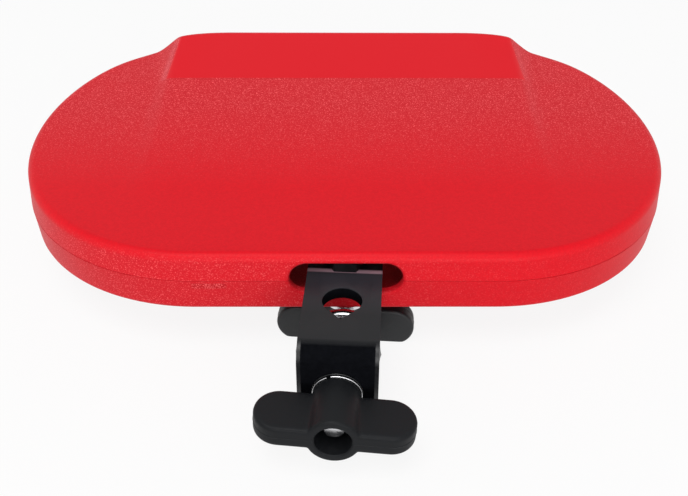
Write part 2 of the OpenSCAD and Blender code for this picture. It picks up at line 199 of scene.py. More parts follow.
@titled
class ClampSizes(bpy.types.PropertyGroup):
    """Sizes of the eye bolt, the washers and the wing grips."""
    thread: length("Outer radius of the thread", 4)
    thread_depth: length("Depth of the thread", 0.65)
    pitch: length("Pitch of the thread", 1.25)
    pitch_steps: count("Steps of the mesh to a turn of the thread", 10)
    plain: length("Length of the shank before the thread", 4)
    neck: length("Radius of the neck at the eye", 4.5)
    chamfer: length("Chamfer at the bolt's end", 0.9)
    eye_inner: length("Inner radius of the eye", 7)
    eye_wall: length("Radial thickness of the eye", 3.9)
    eye_edge: length("Rounding of the eye", 1.8)
    washer_radius: length("Outer radius of the flat washers", 8)
    washer_t: length("Thickness of the flat washers", 0.6)
    spring_radius: length("Outer radius of the spring washers", 7.9)
    spring_t: length("Thickness of the spring washers", 1)
    washer_hole: length("Radius of the washers' holes", 4.25)
    split: angle("Gap of the spring washers", 10)
    split_turn: angle("Where the clamp's spring washer is split", 110)
    grip_span: length("Span over both wings", 49.2)
    wing_length: length("Length of the wings along the axis", 15.8)
    wing_t: length("Thickness of the wings", 7.4)
    wing_edge: length("Rounding of the wings' rim", 1.2)
    hub_length: length("Length of the hub", 18.7)
    hub_radius: length("Radius of the hub at the washer", 7.7)
    hub_end: length("Radius of the hub at its free end", 8.3)
    hub_chamfer: length("Chamfer round the hub's free end", 0.6)
    bore: length("Radius of the hub's bore", 5.65)
    insert_length: length("Length of the metal insert", 8.5)
    shoulder: length("Thickness of the shoulder under the insert", 1.5)
    fillet: length("Reach of the fillets between the hub and the wings", 2.4)
    voxel: length("Size of the mesh's squares on the grips", 0.27)
    fillet_steps: count("Smoothing steps of the fillets", 45, 0)
    smooth_steps: count("Smoothing steps of the whole grip", 5, 0)
    clamp_turn: angle("Turn of the clamp's grip", 3)
    mount_turn: angle("Turn of the mount's grip", -0.5)


@titled
class Finishes(bpy.types.PropertyGroup):
    """Colours and grain of the finishes, with the light and shade painted on them."""
    red: colour("Moulded red plastic", (0.81, 0.006, 0.0155))
    red_dark: colour("Red plastic in the hollows of the grain", (0.75, 0.005, 0.014))
    red_lip: colour("Red plastic of the polished lip", (0.80, 0.007, 0.0165))
    # Painted sheen: a duller, pinker red painted towards the back of the top and on the left of the front
    # wall, in place of the sheen of the light behind
    sheen: colour("Red plastic under the sheen", (0.66, 0.016, 0.026))
    # Painted glints: light specks painted in the sheen, beside the lip and on the gate mark, in place of
    # sparkling highlights on the grain
    glint: colour("Light grains in the sheen", (0.98, 0.16, 0.17))
    # Painted highlight: light red painted on the flank strip beside the lip and on the lip's back rim
    pale: colour("Light red of the lip's rounded edge and flank", (0.80, 0.15, 0.17))
    # Dark red: painted shade in the parting line's groove, and the darker tone of the gate mark
    deep: colour("Red in the parting line", (0.45, 0.002, 0.006))
    # Strength and size of the painted glints
    glint_share: share("How strongly the light grains show", 0.95)
    glint_size: length("Size of the light grains", 0.45)
    red_gloss: share("Specular level of the red plastic", 0.15)
    coat_gloss: share("Specular level of the powder coat", 0.27)
    grip_gloss: share("Specular level of the grips", 0.16)
    rear_gloss: share("Specular level of the grip under the block", 0.42)
    edge_gloss: share("Specular level along the bracket's sides", 0.5)
    washer_gloss: share("Specular level of the clamp's flat washer", 0.6)
    # Painted light: the coat's top face is painted lighter towards the block, where it lies in the block's
    # shade
    coat_painted_light: colour("Powder coat towards the block", (0.034, 0.032, 0.040))
    # A pale pinkish band across the coat inside the slot, with plain coat beyond it
    coat_slot_band: colour("Worn band of the coat inside the slot", (0.42, 0.26, 0.31))
    coat: colour("Powder coat of the bracket", (0.0042, 0.0045, 0.0058))
    grip: colour("Black plastic of the grips", (0.0050, 0.0056, 0.0068))
    steel: colour("Bright plated steel", (0.80, 0.80, 0.82))
    nut: colour("Dark plating of the bracket's nut", (0.03, 0.03, 0.033))
    brass: colour("Turned insert", (0.72, 0.56, 0.28))
    grain: length("Size of the moulded grain", 0.7)
    coat_grain: length("Size of the powder coat's grain", 1.1)
    grip_grain: length("Size of the grips' grain", 0.9)
    metal_grain: length("Size of the wear on the metal", 1.6)
    # How strongly the painted sheen shows
    sheen_share: share("How strongly the sheen shows", 0.8)
    # Painted glints beside the lip, against those in the painted sheen
    strip_glint: share("Light grains beside the lip against those in the sheen", 0.9)
    # Strengths of the painted highlights beside the lip and on the lip's back rim
    strip_highlight_share: share("How pale the strip beside the lip is", 0.35)
    rim_highlight_share: share("How pale the lip's back rim is", 0.4)
    # How dark the painted shade in the parting line is
    seam_shade_share: share("How dark the parting line is", 0.5)
    gate_share: share("How dark the gate mark is", 0.4)


@titled
class StageSettings(bpy.types.PropertyGroup):
    """Camera and light."""
    focal: number("Camera's focal length in millimetres", 45.71)
    distance: length("Camera's distance to the block's centre", 356)
    elevation: angle("Camera's height angle", 31.708)
    yaw: angle("Camera's turn round the block", 0.415)
    roll: angle("Camera's roll", 0.257)
    shift_x: number("Sideways shift of the view", -0.0015)
    shift_y: number("Upward shift of the view", -0.1158)
    backdrop: share("Brightness of the background", 0.985)
    ceiling: share("Brightness of the ceiling", 0.08)
    backdrop_top: share("Sine of the angle up to which the backdrop is white", 0.3)
    ceiling_start: share("Sine of the angle from which there is only ceiling", 0.8)
    floor_grey: share("Floor's grey as the object sees it", 0.5)
    floor_white: share("Floor's grey as the camera sees it", 1.0)
    floor_glow: share("Share of plain white in the floor as the camera sees it", 0.88)


def placed(bm, matrix):
    """Moves all of a mesh."""
    bmesh.ops.transform(bm, matrix=matrix, verts=bm.verts)


def opened(mesh):
    """A bmesh with a mesh's contents."""
    bm = bmesh.new()
    bm.from_mesh(mesh)
    return bm


def stored(bm, mesh):
    """Writes a bmesh to a mesh and frees it."""
    bm.to_mesh(mesh)
    bm.free()


def quarter_steps(steps, first=0):
    """Even angles over a quarter turn."""
    return [QUARTER_TURN * k / steps for k in range(first, steps + 1)]


def stadium_point(co, half_line, radius, inset):
    """Where a point of the outline lies once the outline is drawn in by inset."""
    centre = Vector((max(-half_line, min(half_line, co.x)), 0))
    outward = (Vector((co.x, co.y)) - centre).normalized()
    return centre + outward * (radius - inset)


def stadium_loop(bm, half_line, radius, arc_steps, straight_steps, inset=0.0, level=0.0):
    """Closed loop of edges at a level: two half circles a straight line apart, drawn in by inset."""
    bmesh.ops.create_circle(bm, cap_ends=False, radius=radius, segments=2 * arc_steps)
    bmesh.ops.delete(bm, geom=[v for v in bm.verts if v.co.x < -MERGE], context="VERTS")
    bmesh.ops.translate(bm, verts=bm.verts, vec=(half_line, 0, 0))
    bmesh.ops.mirror(bm, geom=bm.verts[:] + bm.edges[:], axis="X", merge_dist=-1)
    for side in (-1, 1):
        ends = [v for v in bm.verts if len(v.link_edges) == 1 and v.co.y * side > 0]
        made = bmesh.ops.contextual_create(bm, geom=ends)["edges"]
        bmesh.ops.subdivide_edges(bm, edges=made, cuts=straight_steps - 1)
    for v in bm.verts:
        v.co = (*stadium_point(v.co, half_line, radius, inset), level)
    return bm.edges[:]


def grown(bm, edges):
    """Extrudes a loop of edges and returns the new vertices and edges."""
    made = bmesh.ops.extrude_edge_only(bm, edges=edges)["geom"]
    fresh = {g for g in made if isinstance(g, bmesh.types.BMVert)}
    return fresh, [g for g in made if isinstance(g, bmesh.types.BMEdge) and fresh.issuperset(g.verts)]


def sweep_rings(bm, edges, half_line, radius, rings, top=None):
    """Grows a ring of faces for each (inset, share of the top's height, level) and returns the last loop."""
    for inset, part, level in rings:
        fresh, edges = grown(bm, edges)
        for v in fresh:
            x, y = stadium_point(v.co, half_line, radius, inset)
            v.co = (x, y, level + (part * top(x, y) if part else 0))
    return edges


def closed(bm, *loops):
    """Puts a face on each open loop of edges, merges doubles and turns all faces outwards."""
    for loop in loops:
        bmesh.ops.contextual_create(bm, geom=loop)
    bmesh.ops.remove_doubles(bm, verts=bm.verts, dist=MERGE)
    bmesh.ops.dissolve_degenerate(bm, edges=bm.edges, dist=MERGE / 10)
    bmesh.ops.recalc_face_normals(bm, faces=bm.faces)


def new_object(name, data):
    """A new object linked to the scene."""
    obj = bpy.data.objects.new(name, data)
    bpy.context.scene.collection.objects.link(obj)
    return obj


def raw_object(name, bm):
    """A new object with the mesh."""
    mesh = bpy.data.meshes.new(name)
    stored(bm, mesh)
    return new_object(name, mesh)


def finished(obj, modifiers):
    """Applies modifiers, each (type, its settings), to an object's mesh."""
    for kind, settings in modifiers:
        modifier = obj.modifiers.new(kind.title(), kind)
        for name, value in settings.items():
            setattr(modifier, name, value)
    bpy.context.view_layer.update()
    depsgraph = bpy.context.evaluated_depsgraph_get()
    made = bpy.data.meshes.new_from_object(obj.evaluated_get(depsgraph), depsgraph=depsgraph)
    old = obj.data
    obj.modifiers.clear()
    obj.data = made
    made.name = obj.name
    bpy.data.meshes.remove(old)
    return obj


def joined(obj, tools, operation):
    """Cuts the tools from an object, or adds them to it, and deletes them."""
    finished(obj, [("BOOLEAN", {"operation": operation, "solver": "MANIFOLD", "object": tool})
                   for tool in tools])
    for tool in tools:
        bpy.data.objects.remove(tool)
    return obj


def dressed(obj, finish, slot, body, *nodes):
    """Gives a finished piece smooth faces, its material, its body and the nodes it stands for."""
    bm = opened(obj.data)
    for face in bm.faces:
        face.smooth = True
    for edge in bm.edges:
        edge.smooth = len(edge.link_faces) == 2 and edge.calc_face_angle(0) < SHARP_ANGLE
    stored(bm, obj.data)
    obj.data.materials.clear()
    obj.data.materials.append(bpy.data.materials[finish])
    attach(obj, body)
    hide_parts(*nodes)


def slot_tool(name, place, width, height, edge, depth, leaning):
    """Cutter with round ends that leaves a rounded rim in a leaning wall, whose face is at z = 0."""
    bm = bmesh.new()
    half_line, radius = (width - height) / 2, height / 2 + edge
    start = stadium_loop(bm, half_line, radius, 20, 12, level=-2 * edge)
    rings = [(edge * math.sin(a), 0, edge * (1 - math.cos(a))) for a in quarter_steps(5)] + [(edge, 0, depth)]
    end = sweep_rings(bm, start, half_line, radius, rings)
    closed(bm, start, end)
    placed(bm, place)
    for v in bm.verts:
        v.co.y += leaning(v.co.z)
    return raw_object(name, bm)


def cylinder_tool(name, place, radius, depth, segments=64):
    """Closed cylinder that stands on the plane z = 0 of its place."""
    bm = bmesh.new()
    bmesh.ops.create_cone(bm, cap_ends=True, segments=segments, radius1=radius, radius2=radius, depth=depth)
    placed(bm, place @ Matrix.Translation((0, 0, depth / 2)))
    return raw_object(name, bm)


def box_tool(name, place, size):
    """Closed box round the middle of its place."""
    bm = bmesh.new()
    bmesh.ops.create_cube(bm, size=1)
    placed(bm, place @ Matrix.Diagonal((*size, 1)))
    return raw_object(name, bm)


def turned(name, outline, steps=96, sweep=FULL_TURN):
    """Spins a closed outline of (radius, height) points about Z."""
    bm = bmesh.new()
    verts = [bm.verts.new((r, 0, z)) for r, z in outline]
    edges = [bm.edges.new((verts[k], verts[(k + 1) % len(verts)])) for k in range(len(verts))]
    full = sweep > FULL_TURN - MERGE
    made = bmesh.ops.spin(bm, geom=verts + edges, cent=(0, 0, 0), axis=(0, 0, 1), angle=sweep,
                          steps=steps, use_merge=full)
    last = [g for g in made["geom_last"] if isinstance(g, bmesh.types.BMEdge)]
    closed(bm, *(() if full else (edges, last)))
    return raw_object(name, bm)


def rounded_outline(inner, outer, low, high, edge, steps=5):
    """Outline of a ring's section with rounded corners."""
    points = []
    for r, z, first in ((outer - edge, high - edge, 0), (inner + edge, high - edge, 1),
                        (inner + edge, low + edge, 2), (outer - edge, low + edge, 3)):
        for k in range(steps + 1):
            a = QUARTER_TURN * (first + k / steps)
            points.append((r + edge * math.cos(a), z + edge * math.sin(a)))
    return points


def block_place(s):
    """Matrix from the block's own frame, centred on its parting plane, to the part's frame."""
    return (Matrix.Translation((PIVOT.x, PIVOT.y, PARTING_Z)) @ Matrix.Rotation(s.turn, 4, "Z")
            @ Matrix.Translation((0, s.depth / 2 - s.mount_inset, 0)))


def ramp(value, soft):
    """The value where it is positive and 0 where it isn't, with a rounded corner."""
    return (value + math.sqrt(value * value + soft * soft)) / 2


def top_height(s, x, y):
    """Height of the moulded top over the parting plane."""
    half_depth = s.depth / 2
    start, crease = half_depth - s.centre_back, half_depth - s.crease_back
    wing = s.front_height + (s.back_height - s.front_height) * (y / s.depth + 0.5)
    wing -= s.top_sag * (1 - (y / half_depth) ** 2)
    slow = s.crease_rise / (crease - start)
    fast = (s.lip_rise - s.crease_rise) / s.crease_back
    rise = slow * ramp(y - start, 10 * s.crease_soft) + (fast - slow) * ramp(y - crease, s.crease_soft)
    back = max(0.0, min(1.0, (y - crease) / s.crease_back))
    half = s.centre_half + (s.lip_half - s.centre_half) * back
    run = s.crease_run + (s.lip_run - s.crease_run) * back
    down = max(0.0, 1 - ramp((abs(x) - half) / run, s.flank_soft / run))
    ends = max(0.0, (abs(x) - s.lip_lift_from) / s.lip_lift_run)
    wing -= back * s.trough * math.exp(-((abs(x) - s.trough_at) / s.trough_run) ** 2)
    return wing + (rise + back * s.lip_lift * min(1.2, ends) ** 2) * down ** s.flank_power


def rounding(skin, lean, radius, steps):
    """Rings of a quarter round from the leaning wall up to the top, at the depth of a skin."""
    return [(skin + lean + radius * (1 - math.cos(a)), 1, -skin - radius * (1 - math.sin(a)))
            for a in quarter_steps(steps)]


def spread(start, end, pitch):
    """Even steps from start to end, without start."""
    steps = max(1, round((end - start) / pitch))
    return [start + (end - start) * (k + 1) / steps for k in range(steps)]


def joint_rings(s, play, spare):
    """Rings over the rim with the tongue that lines the shells up, or with its groove."""
    near, far, height = s.tongue_near - play, s.tongue_far + play, s.tongue_height + spare
    return [(near, 0, 0), (near, 0, height), (far, 0, height), (far, 0, 0), (s.wall, 0, 0)]


def upper_rings(s):
    """Rings of the upper shell's outer and inner skin, from the parting plane to the middle."""
    edge, lean, radius = s.top_edge, s.top_lean, s.depth / 2
    flat = lean + edge + s.seam_edge
    outer = [(0, 0, s.seam_edge)] + [(lean * part, part, -edge * part) for part in WALL_RINGS]
    outer += rounding(0, lean, edge, 9)
    outer += [(i, 1, 0) for i in [flat] + spread(flat, radius, s.ring_pitch)]
    inner = joint_rings(s, s.groove_play, s.groove_spare) + rounding(s.wall, lean, s.inner_edge, 3)
    inner += [(i, 1, -s.wall) for i in spread(s.wall + lean + s.inner_edge, radius, 2.5 * s.ring_pitch)]
    return outer, inner


def lower_rings(s):
    """Rings of the lower shell's outer and inner skin, from the parting plane to the middle."""
    edge, lean, height, radius = s.base_edge, s.base_lean, s.base_height, s.depth / 2
    flat, foot = lean + edge + s.seam_edge, s.wall + lean
    outer = [(0, 0, -s.seam_edge)] + [(lean * part, 0, (edge - height) * part) for part in WALL_RINGS]
    outer += [(i, 0, -height - z) for i, _, z in rounding(0, lean, edge, 7)]
    outer += [(i, 0, -height) for i in [flat] + spread(flat, radius, s.floor_pitch)]
    inner = joint_rings(s, 0, 0)
    inner += [(i, 0, s.wall - height) for i in [foot] + spread(foot, radius, 4 / 3 * s.floor_pitch)]
    return outer, inner


def build_shell(s, name, skins, top=None):
    """Outer and inner skin of a shell as one closed mesh, in the block's frame."""
    bm = bmesh.new()
    half_line, radius = (s.width - s.depth) / 2, s.depth / 2
    start = stadium_loop(bm, half_line, radius, s.arc_steps, s.straight_steps, s.seam_edge)
    for rings in skins:
        sweep_rings(bm, start, half_line, radius, rings, top)
    closed(bm)
    return raw_object(name, bm)


def shell_tools(s):
    """Cutters of the bracket's slot and of the sound mouth, in the block's frame."""
    half_depth, depth = s.depth / 2, 2 * s.wall + 3 * MM
    front_rise = s.front_height - s.top_edge
    back_rise = s.back_height + s.lip_rise - s.top_edge
    base_drop = s.base_height - s.base_edge
    lean_front = lambda z: s.top_lean * z / front_rise if z > 0 else -s.base_lean * z / base_drop
    lean_back = lambda z: -s.top_lean * z / back_rise
    front = Matrix.Translation((0, -half_depth, s.slot_z)) @ Z_TO_FRONT.inverted()
    back = Matrix.Translation((0, half_depth, s.mouth_z)) @ Z_TO_FRONT
    return (slot_tool("slot_tool", front, s.slot_width, s.slot_height, s.slot_edge, depth, lean_front),
            slot_tool("mouth_tool", back, s.mouth_width, s.mouth_height, s.mouth_edge, depth, lean_back))


def dress_shell(obj, s, node):
    """Places and dresses a shell, and keeps each point's place in the block's frame for the finish."""
    place = block_place(s)
    obj.data.transform(place)
    dressed(obj, "red_finish", "red_shell", "block", node)
    back = place.inverted()
    values = [value for v in obj.data.vertices for value in back @ v.co]
    obj.data.attributes.new(PLACE_NAME, "FLOAT_VECTOR", "POINT").data.foreach_set("vector", values)


class UpperShell(bpy.types.Operator):
    """Moulds the upper shell with its raised centre, its lip and the sound mouth"""
    bl_idname = "percussion.upper_shell"
    bl_label = "Upper Shell"

    def execute(self, context):
        s = context.scene.block_shell
        obj = build_shell(s, "shell_upper", upper_rings(s), lambda x, y: top_height(s, x, y))
        dress_shell(joined(obj, shell_tools(s), "DIFFERENCE"), s, "upper_shell")
        return {"FINISHED"}


class LowerShell(bpy.types.Operator):
    """Moulds the lower shell with its mounting pad and the mount screw's hole"""
    bl_idname = "percussion.lower_shell"
    bl_label = "Lower Shell"

    def execute(self, context):
        s = context.scene.block_shell
        screw_y, floor = s.mount_inset - s.depth / 2, s.wall - s.base_height
        sunk = floor - s.wall / 2
        pad = cylinder_tool("pad", Matrix.Translation((0, screw_y, sunk)), s.pad_radius, s.pad_top - sunk)
        obj = joined(build_shell(s, "shell_lower", lower_rings(s)), [pad], "UNION")
        slot, mouth = shell_tools(s)
        bpy.data.objects.remove(mouth)
        below = Matrix.Translation((0, screw_y, -2 * s.base_height))
        hole = cylinder_tool("screw_hole_tool", below, s.screw_hole, 2 * s.base_height)
        dress_shell(joined(obj, [slot, hole], "DIFFERENCE"), s, "lower_shell")
        return {"FINISHED"}


def bend_path(b, low, high):
    """Straight and bent stretches of the bracket's middle surface, from the plate's tail to the lower end."""
    half_t = b.plate_t / 2
    mid = b.bend + half_t
    top_z, low_z, web_y = high.z - half_t, low.z + half_t, low.y + half_t
    turn_y = web_y + mid
    return [
        ("line", high.y - turn_y, Vector((0, high.y, top_z)), Vector((0, -1, 0))),
        ("bend", mid * QUARTER_TURN, Vector((0, turn_y, top_z - mid)), 0.0),
        ("line", top_z - low_z - 2 * mid, Vector((0, web_y, top_z - mid)), Vector((0, 0, -1))),
        ("bend", mid * QUARTER_TURN, Vector((0, turn_y, low_z + mid)), QUARTER_TURN),
        ("line", b.lower_reach - turn_y, Vector((0, turn_y, low_z)), Vector((0, 1, 0))),
    ]


def bent_point(b, path, co):
    """Where a point of the flat bar, x across, y along, z out of it, lies on the bent bracket."""
    mid = b.bend + b.plate_t / 2
    along = co.y
    for kind, run, start, heading in path:
        if along <= run + MERGE or (kind, run) == path[-1][:2]:
            break
        along -= run
    if kind == "line":
        outward = Vector((0, heading.z, -heading.y))
        return Vector((co.x, 0, 0)) + start + heading * along + outward * co.z
    angle = heading + along / mid
    outward = Vector((0, -math.sin(angle), math.cos(angle)))
    swell = b.bulge * (0.35 - co.z / b.plate_t) * math.sin(max(0.0, min(1.0, along / run)) * HALF_TURN)
    return Vector((co.x * (1 + swell / BRACKET_HIGH.x), 0, 0)) + start + outward * (mid + co.z)


def flat_bar(b, runs):
    """The bracket's bar before it is bent, with round corners, its holes and their notches."""
    width, total = BRACKET_HIGH.x - BRACKET_LOW.x, sum(runs)
    bar = box_tool("bracket", Matrix.Translation((0, total / 2, 0)), (width, total, b.plate_t))
    bm = opened(bar.data)
    upright = [e for e in bm.edges if abs(e.verts[0].co.z - e.verts[1].co.z) > MERGE]
    bmesh.ops.bevel(bm, geom=upright, offset=b.corner, offset_type="OFFSET", affect="EDGES",
                    segments=8, profile=0.5, material=-1)
    stored(bm, bar.data)
    tools = []
    for name, y, radius, notch in (
            ("upper_rod", BRACKET_HIGH.y, b.rod_hole, 1),
            ("lower_rod", total - b.lower_reach, b.rod_hole, -1),
            ("bolt", runs[0] + runs[1] + runs[2] / 2, b.bolt_hole, 0),
            ("screw", BRACKET_HIGH.y - PIVOT.y, b.screw_hole, 0)):
        tools.append(cylinder_tool(name, Matrix.Translation((0, y, -b.plate_t)), radius, 2 * b.plate_t))
        if notch:
            side = radius * b.notch
            place = (Matrix.Translation((0, y, 0)) @ Matrix.Rotation(notch * QUARTER_TURN / 2, 4, "Z")
                     @ Matrix.Translation((side / 2, notch * side / 2, 0)))
            tools.append(box_tool(name + "_notch", place, (side, side, 2 * b.plate_t)))
    return joined(bar, tools, "DIFFERENCE")


class Bracket(bpy.types.Operator):
    """Cuts, drills and bends the flat bar of the bracket"""
    bl_idname = "percussion.bracket"
    bl_label = "Bracket"

    def execute(self, context):
        b = context.scene.block_bracket
        path = bend_path(b, BRACKET_LOW, BRACKET_HIGH)
        runs = [part[1] for part in path]
        bar = flat_bar(b, runs)
        bm = opened(bar.data)
        bmesh.ops.remove_doubles(bm, verts=bm.verts, dist=MERGE)
        bmesh.ops.dissolve_limit(bm, angle_limit=math.radians(1), verts=bm.verts, edges=bm.edges)
        rim = [e for e in bm.edges if e.is_manifold and e.calc_face_angle(0) > 1.5 * SHARP_ANGLE
               and all(abs(abs(v.co.z) - b.plate_t / 2) < MERGE for v in e.verts)]
        bmesh.ops.bevel(bm, geom=rim, offset=b.edge, offset_type="OFFSET", affect="EDGES",
                        segments=4, profile=0.5, material=-1, clamp_overlap=True)
        for index in (1, 3):
            first = sum(runs[:index])
            for k in range(b.bend_steps + 1):
                bmesh.ops.bisect_plane(
                    bm, geom=bm.verts[:] + bm.edges[:] + bm.faces[:], dist=MERGE / 10,
                    plane_co=(0, first + runs[index] * k / b.bend_steps, 0), plane_no=(0, 1, 0))
        for v in bm.verts:
            v.co = bent_point(b, path, v.co)
        bmesh.ops.recalc_face_normals(bm, faces=bm.faces)
        stored(bm, bar.data)
        bar.name = "bracket_plate"
        dressed(bar, "coat_finish", "black_coat", "bracket", "mount_bracket")
        return {"FINISHED"}


def clamp_place(out, turn=0.0):
    """Place of a fitting that stands out from the web on the clamp's axis."""
    return Matrix.Translation((0, BRACKET_LOW.y - out, 0)) @ Matrix.Rotation(turn, 4, "Y") @ Z_TO_FRONT


def mount_place(down, turn=0.0):
    """Place of a fitting that hangs under the block on the mount's axis."""
    return (Matrix.Translation((PIVOT.x, PIVOT.y, WASHER_HIGH.z - down))
            @ Matrix.Rotation(turn, 4, "Z") @ Matrix.Rotation(HALF_TURN, 4, "X"))


class Washers(bpy.types.Operator):
    """Turns the flat washers and the split spring washers"""
    bl_idname = "percussion.washers"
    bl_label = "Washers"

    def execute(self, context):
        c = context.scene.block_clamp
        flat = (c.washer_radius, c.washer_t, 0.2, 0.0)        # radius, thickness, edge's share of it, split
        spring = (c.spring_radius, c.spring_t, 0.22, c.split)
        for name, place, (radius, thick, edge, split), turn, finish, slot, body, node in (
                ("washer_clamp", clamp_place(0), flat, 0, "washer_finish", "black_coat",
                 "bracket", "clamp_washer"),
                ("washer_mount", mount_place(0), flat, 0, "steel_finish", "plated_steel",
                 "block", "mount_washer"),
                ("spring_washer_clamp", clamp_place(c.washer_t), spring, c.split_turn, "steel_finish",
                 "plated_steel", "clamp_wing", "clamp_spring_washer"),
                ("spring_washer_mount", mount_place(c.washer_t), spring, 0, "steel_finish",
                 "plated_steel", "mount_wing", "mount_spring_washer")):
            section = rounded_outline(c.washer_hole, radius, 0, thick, edge * thick)
            obj = turned(name, section, sweep=FULL_TURN - split)
            obj.data.transform(place @ Matrix.Rotation(turn + split / 2, 4, "Z"))
            dressed(obj, finish, slot, body, node)
        return {"FINISHED"}


def threaded_rod(name, c, total):
    """Closed rod from z = 0 with a thread from its plain neck to its chamfered end."""
    bm = bmesh.new()
    bmesh.ops.create_circle(bm, cap_ends=False, radius=c.thread, segments=48)
    start = edges = bm.edges[:]
    steps = round((total - c.plain) / c.pitch * c.pitch_steps)
    for level in [c.plain / 2] + [c.plain + (total - c.plain) * k / steps for k in range(steps + 1)]:
        fresh, edges = grown(bm, edges)
        for v in fresh:
            angle = math.atan2(v.co.y, v.co.x)
            wave = abs(((level - c.plain) / c.pitch - angle / FULL_TURN) % 1 * 2 - 1)
            depth = c.thread_depth * min(1.0, 1.25 * wave) if level > c.plain else 0.0
            end_cut = max(0.0, c.chamfer - (total - level))
            radius = min(c.thread - depth, c.thread - end_cut)
            v.co = (radius * math.cos(angle), radius * math.sin(angle), level)
    closed(bm, start, edges)
    return raw_object(name, bm)


class EyeBolt(bpy.types.Operator):
    """Forges the eye bolt: its eye, neck and threaded shank"""
    bl_idname = "percussion.eye_bolt"
    bl_label = "Eye Bolt"

    def execute(self, context):
        c = context.scene.block_clamp
        outer = c.eye_inner + c.eye_wall
        eye = turned("eye", rounded_outline(c.eye_inner, outer, -EYE_HIGH.z, EYE_HIGH.z, c.eye_edge, 8))
        start = outer - c.eye_wall / 2
        place = Matrix.Translation((0, -start, 0)) @ Z_TO_FRONT
        shank = threaded_rod("shank", c, -EYE_LOW.y - start)
        shank.data.transform(place)
        neck = cylinder_tool("neck", place, c.neck, c.eye_wall / 2 + MM)
        obj = joined(eye, [neck, shank], "UNION")
        obj.name = "bolt_with_eye"
        dressed(obj, "steel_finish", "plated_steel", "eye", "eye_bolt")
        return {"FINISHED"}


def wing_skin(c, arc_steps, inset, level, rings):
    """Skin round both wings over (inset, level) rings: its mesh, its first and last loop and its place."""
    bm = bmesh.new()
    half_line, radius = (c.grip_span - c.wing_length) / 2, c.wing_length / 2
    start = stadium_loop(bm, half_line, radius, arc_steps, 30, inset, level)
    end = sweep_rings(bm, start, half_line, radius, [(i, 0, z) for i, z in rings])
    return bm, start, end, Matrix.Translation((0, 0, c.hub_length - radius)) @ Z_TO_FRONT


def wing_blank(c):
    """Solid wings and hub, before the bore, with the fillets between them."""
    half_t, edge, lip = c.wing_t / 2, c.wing_edge, c.hub_chamfer
    rings = [(edge * (1 - math.sin(a)), edge * (1 - math.cos(a)) - half_t) for a in quarter_steps(7, 1)]
    rings += [(inset, -level) for inset, level in reversed(rings)] + [(edge, half_t)]
    bm, start, end, place = wing_skin(c, 28, edge, -half_t, rings)
    closed(bm, start, end)
    placed(bm, place)
    blank = raw_object("grip_blank", bm)
    hub = turned("hub", [
        (0, 0), (c.hub_radius - 0.5 * lip, 0), (c.hub_radius, 0.5 * lip), (c.hub_end, c.hub_length - lip),
        (c.hub_end - lip, c.hub_length), (0, c.hub_length)])
    joined(blank, [hub], "UNION")
    finished(blank, [("REMESH", {"mode": "VOXEL", "voxel_size": c.voxel})])
    bm = opened(blank.data)
    corner_x = math.sqrt(c.hub_radius ** 2 - half_t ** 2)
    corners = [v for v in bm.verts if v.co.z < c.hub_length - 2 * lip
               and math.hypot(abs(v.co.x) - corner_x, abs(v.co.y) - half_t) < c.fillet]
    for verts, steps in ((corners, c.fillet_steps), (bm.verts, c.smooth_steps)):
        for _ in range(steps):
            bmesh.ops.smooth_vert(
                bm, verts=verts, factor=0.5, use_axis_x=True, use_axis_y=True, use_axis_z=True)
    stored(bm, blank.data)
    return blank


def bore_tool(c):
    """Cutter of the hub's bore, its shoulder and the bolt's way through."""
    way, rim, over = 4.5 * MM, 0.4 * MM, MM
    low, high, top = c.insert_length, c.insert_length + c.shoulder, c.hub_length
    return turned("bore", [
        (0, -over), (c.bore, -over), (c.bore, low), (way, low), (way, high), (c.bore, high),
        (c.bore, top - rim), (c.bore + rim, top), (c.bore + rim, top + over), (0, top + over)])


def mould_seam(c):
    """Thin flash line round both wings, where the mould's halves met."""
    proud, half_w, sink, flush = 0.08 * MM, 0.16 * MM, 0.4 * MM, 0.02 * MM
    rings = [(flush, -half_w), (-proud, 0), (flush, half_w), (sink, half_w)]
    bm, start, end, place = wing_skin(c, 40, sink, -half_w, rings)
    bmesh.ops.bridge_loops(bm, edges=start + end)
    closed(bm)
    placed(bm, place)
    return raw_object("seam", bm)


class WingGrips(bpy.types.Operator):
    """Moulds both plastic wing grips with their fillets, bores and mould seams"""
    bl_idname = "percussion.wing_grips"
    bl_label = "Wing Grips"

    def execute(self, context):
        c = context.scene.block_clamp
        blank = wing_blank(c)
        joined(blank, [mould_seam(c)], "UNION")
        joined(blank, [bore_tool(c)], "DIFFERENCE")
        second = new_object("grip_mount", blank.data.copy())
        blank.name = "grip_clamp"
        out = c.washer_t + c.spring_t
        for obj, place, body, node in (
                (blank, clamp_place(out, c.clamp_turn), "clamp_wing", "clamp_wing_nut"),
                (second, mount_place(out, c.mount_turn), "mount_wing", "mount_wing_grip")):
            obj.data.transform(place)
            dressed(obj, "grip_finish", "black_grip", body, node)
        return {"FINISHED"}


